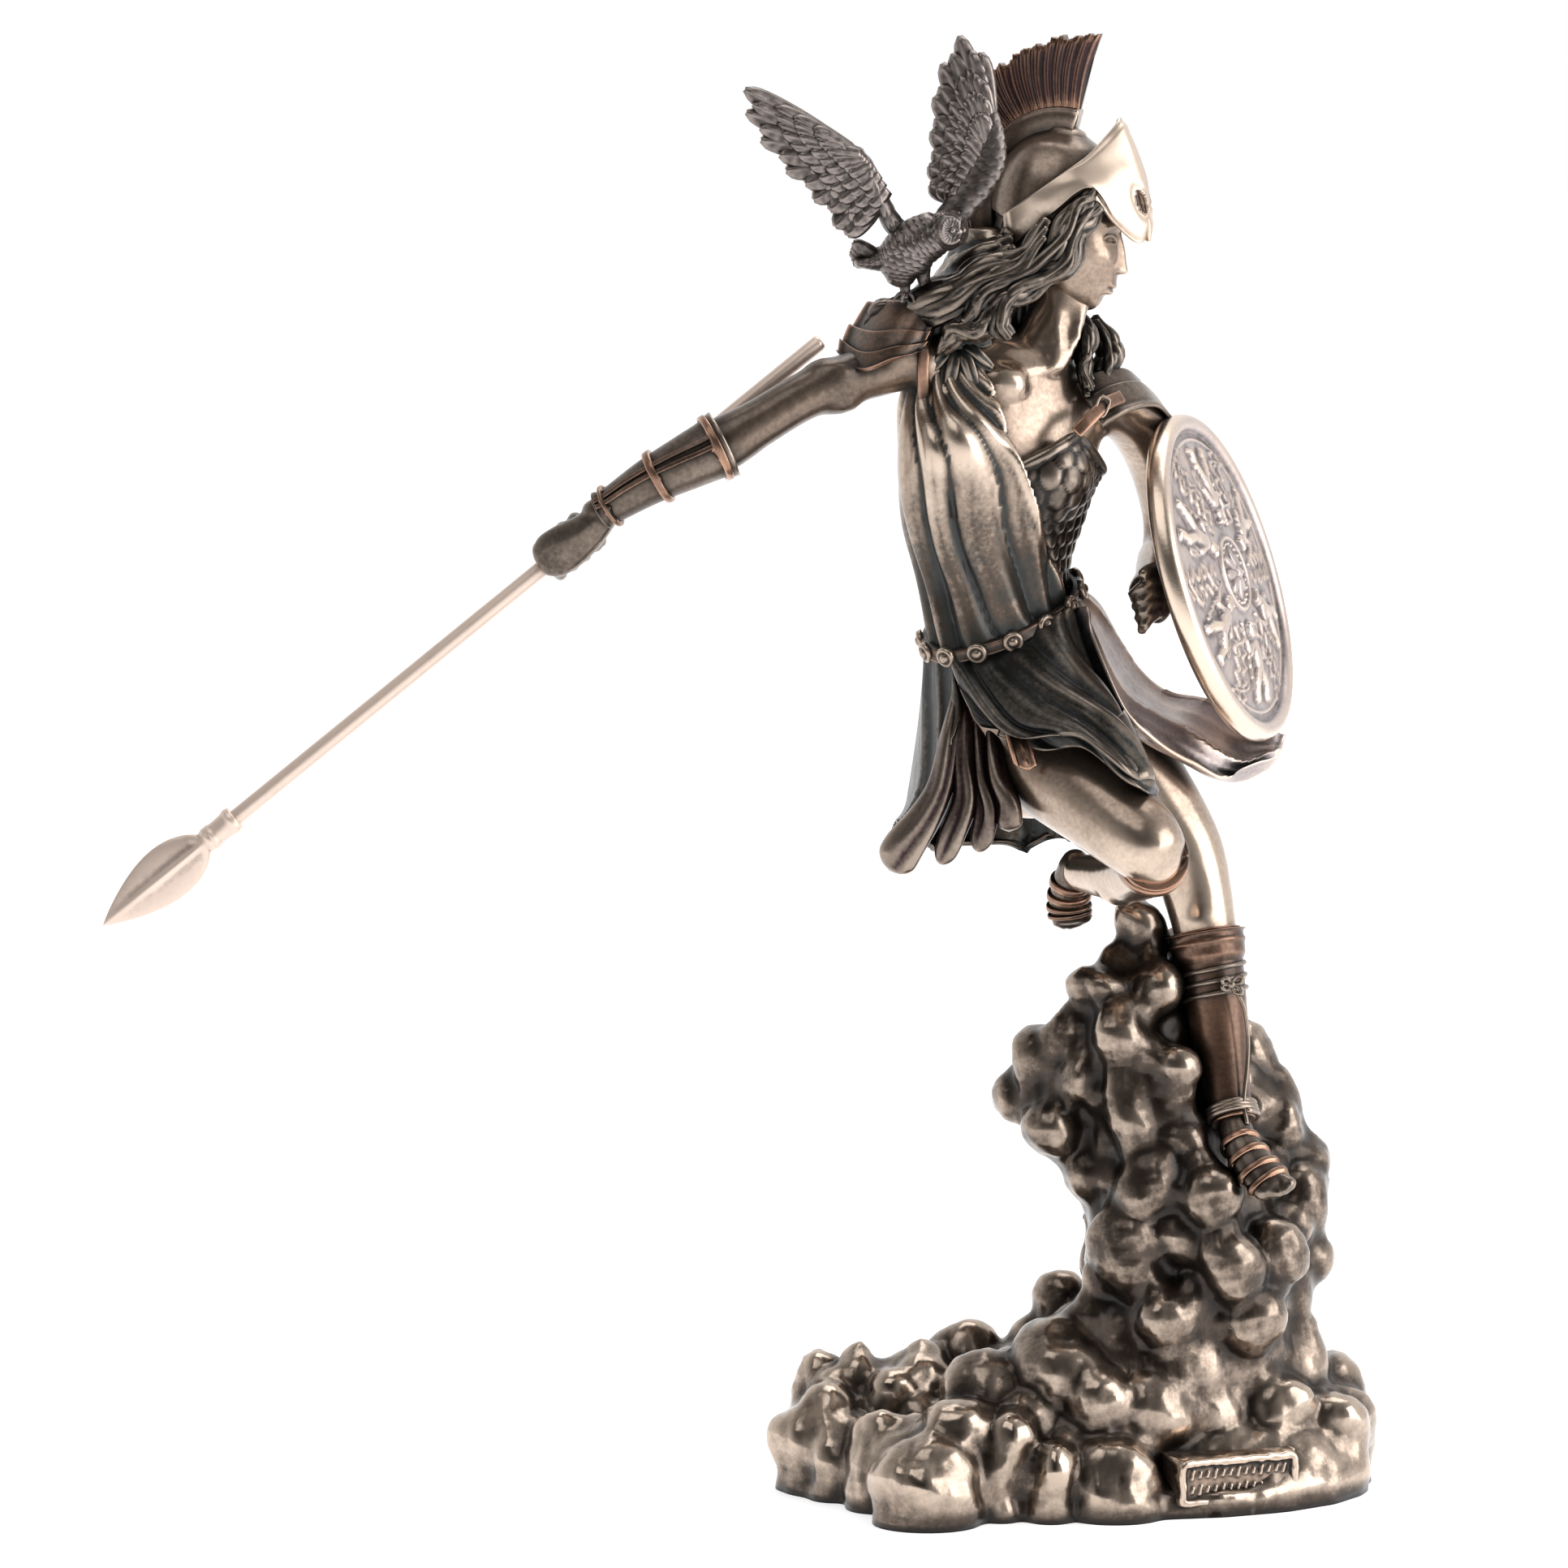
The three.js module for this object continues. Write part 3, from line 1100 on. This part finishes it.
function owlFeet(gap) {
  return LEGS.map((leg) => limb(grown(perched(leg), gap), 4, 2, 0.9));
}

function owl() {
  const head = lump(
    vector(OWL_HEAD).multiplyScalar(OWL_UNIT).add(PERCH),
    OWL_HEAD_RADII.map((radius) => radius * OWL_UNIT),
  );
  return join(owlPart(OWL_BODY, 6, 4), head, owlPart(BEAK, 4, 1), owlFeet(0), wing(LEFT_WING), wing(RIGHT_WING));
}

// Shield: a domed disc with a rounded rim, relief figures in a ring round a roundel

const SHIELD_NORMAL = new THREE.Vector3(0.9, -0.32, 0.29).normalize();
const SHIELD_CENTRE = pose([31.1, 13, 208.3]);
const SHIELD_TURN = new THREE.Quaternion().setFromUnitVectors(new THREE.Vector3(0, 1, 0), SHIELD_NORMAL);
const SHIELD_BACK = -1.2;

function onShield(geometry) {
  geometry.applyQuaternion(SHIELD_TURN);
  return solid(geometry.translate(SHIELD_CENTRE.x, SHIELD_CENTRE.y, SHIELD_CENTRE.z));
}

const domeHeight = (radius) => (
  SHIELD_BACK + SHIELD_THICKNESS + SHIELD_DOME * (1 - (radius / (SHIELD_DIAMETER / 2)) ** 2)
);

function shieldDisc() {
  const outer = SHIELD_DIAMETER / 2;
  const field = outer - SHIELD_RIM;
  const profile = [new THREE.Vector2(0, SHIELD_BACK)];
  profile.push(new THREE.Vector2(field, SHIELD_BACK));
  for (let step = 0; step <= 3; step += 1) {
    const angle = -Math.PI / 2 + (step / 3) * Math.PI;
    const reach = outer - SHIELD_RIM / 2 + (SHIELD_RIM / 2) * Math.cos(angle);
    profile.push(new THREE.Vector2(reach, SHIELD_BACK + SHIELD_THICKNESS * (0.6 + 0.6 * Math.sin(angle))));
  }
  profile.push(new THREE.Vector2(field, domeHeight(field)));
  profile.push(new THREE.Vector2(field / 2, domeHeight(field / 2)));
  profile.push(new THREE.Vector2(0, domeHeight(0)));
  return onShield(new THREE.LatheGeometry(profile, 20));
}

// One striding figure in low relief: head, trunk, two legs and a raised arm.
function reliefFigure(bearing) {
  const ring = (ROUNDEL_DIAMETER / 2 + SHIELD_DIAMETER / 2 - SHIELD_RIM) / 2;
  const parts = [[5.4, 0, 2, 2], [-0.6, 0, 2.6, 4.4], [-7, 3, 1.6, 3.4], [-7, -3, 1.6, 3.4]];
  return parts.map(([out, aside, halfWidth, halfHeight]) => {
    const height = domeHeight(ring + out);
    const geometry = new THREE.OctahedronGeometry(1, 0).scale(halfWidth, 2 * RELIEF_RAISE, halfHeight);
    geometry.translate(aside, height - RELIEF_RAISE, ring + out).rotateY(bearing);
    return onShield(geometry);
  });
}

function roundel() {
  const radius = ROUNDEL_DIAMETER / 2;
  const disc = new THREE.CylinderGeometry(radius, radius + RELIEF_RAISE, 2 * RELIEF_RAISE, 12);
  disc.translate(0, domeHeight(0), 0);
  const leaves = Array.from({ length: 6 }, (_, i) => {
    const leaf = new THREE.OctahedronGeometry(1, 0).scale(1.5, RELIEF_RAISE, radius / 3);
    leaf.translate(0, domeHeight(0) + RELIEF_RAISE, radius / 2).rotateY((i / 6) * 2 * Math.PI);
    return onShield(leaf);
  });
  return join(onShield(disc), leaves);
}

// The grip block behind the disc closes round the forearm.
function gripBlock() {
  const block = new THREE.BoxGeometry(GRIP_LENGTH, 0.8 * GRIP_LENGTH, GRIP_LENGTH);
  const place = new THREE.Vector3(0, SHIELD_BACK - GRIP_LENGTH / 4, 0);
  return onShield(block.translate(place.x, place.y, place.z));
}

function shield() {
  const figures = Array.from({ length: RELIEF_FIGURES }, (_, i) => (
    reliefFigure((i / RELIEF_FIGURES) * 2 * Math.PI)
  ));
  const forearm = limb(grown(posed(LEFT_ARM), 2 * SEAT_GAP), 7, 9);
  return join(shieldDisc(), roundel(), figures.flat(), gripBlock()).subtract(forearm);
}

// Spear: a rod through the fist, and a leaf-shaped head on its front end

function alongSpear(geometry, along) {
  const turn = new THREE.Quaternion().setFromUnitVectors(new THREE.Vector3(0, 1, 0), SPEAR_BACK.clone().negate());
  const place = GRIP.clone().addScaledVector(SPEAR_BACK, -along);
  return solid(geometry.applyQuaternion(turn).translate(place.x, place.y, place.z));
}

function spearShaft() {
  const radius = SHAFT_DIAMETER / 2;
  const profile = [
    [0, 0],
    [radius - 0.5, 0],
    [radius, 0.5],
    [radius, SHAFT_LENGTH],
    [0, SHAFT_LENGTH],
  ].map(([x, y]) => new THREE.Vector2(x, y));
  return alongSpear(new THREE.LatheGeometry(profile, 12), -SHAFT_PAST_HAND);
}

// The head's profile is swept to a lens section, with a round socket at its back.
function spearHead() {
  const socket = SOCKET_DIAMETER / 2;
  const half = SPEARHEAD_WIDTH / 2;
  const thick = SPEARHEAD_THICKNESS / 2;
  const blade = SPEARHEAD_LENGTH - SOCKET_LENGTH;
  const sections = [
    [0, socket, socket],
    [1.2, socket + 0.3, socket + 0.3],
    [2.4, socket, socket],
    [SOCKET_LENGTH, 0.92 * socket, 0.92 * socket],
    [SOCKET_LENGTH + 0.2 * blade, 0.78 * half, thick],
    [SOCKET_LENGTH + 0.36 * blade, half, 0.92 * thick],
    [SOCKET_LENGTH + 0.62 * blade, 0.72 * half, 0.75 * thick],
    [SPEARHEAD_LENGTH - 1, 0.14 * half, 0.3 * thick],
  ];
  const stations = sections.map(([along, wide, deep]) => {
    const place = GRIP.clone().addScaledVector(SPEAR_BACK, -(SHAFT_LENGTH - SHAFT_PAST_HAND - SOCKET_DEPTH + along));
    return [...place.toArray(), deep, wide, 90];
  });
  const bore = new THREE.CylinderGeometry(
    SHAFT_DIAMETER / 2 + SEAT_GAP,
    SHAFT_DIAMETER / 2 + SEAT_GAP,
    2 * (SOCKET_DEPTH + SEAT_GAP),
    12,
  );
  const mouth = SHAFT_LENGTH - SHAFT_PAST_HAND - SOCKET_DEPTH;
  return limb(stations, 8, 8, 0.2).subtract(alongSpear(bore, mouth));
}

// Assembly

const perchSockets = join(owlFeet(SEAT_GAP));

const statuette = new THREE.Group();
statuette.add(
  named('cloud_base', cloudBase(bootSpace()), DARK_BRONZE),
  named('athena_figure', figure().subtract(perchSockets), BRONZE),
  named('owl', owl(), FEATHER_BRONZE),
  named('shield', shield(), SHIELD_BRONZE),
  named('spear_shaft', spearShaft(), PALE_GOLD),
  named('spear_head', spearHead(), PALE_GOLD),
);

export default statuette;
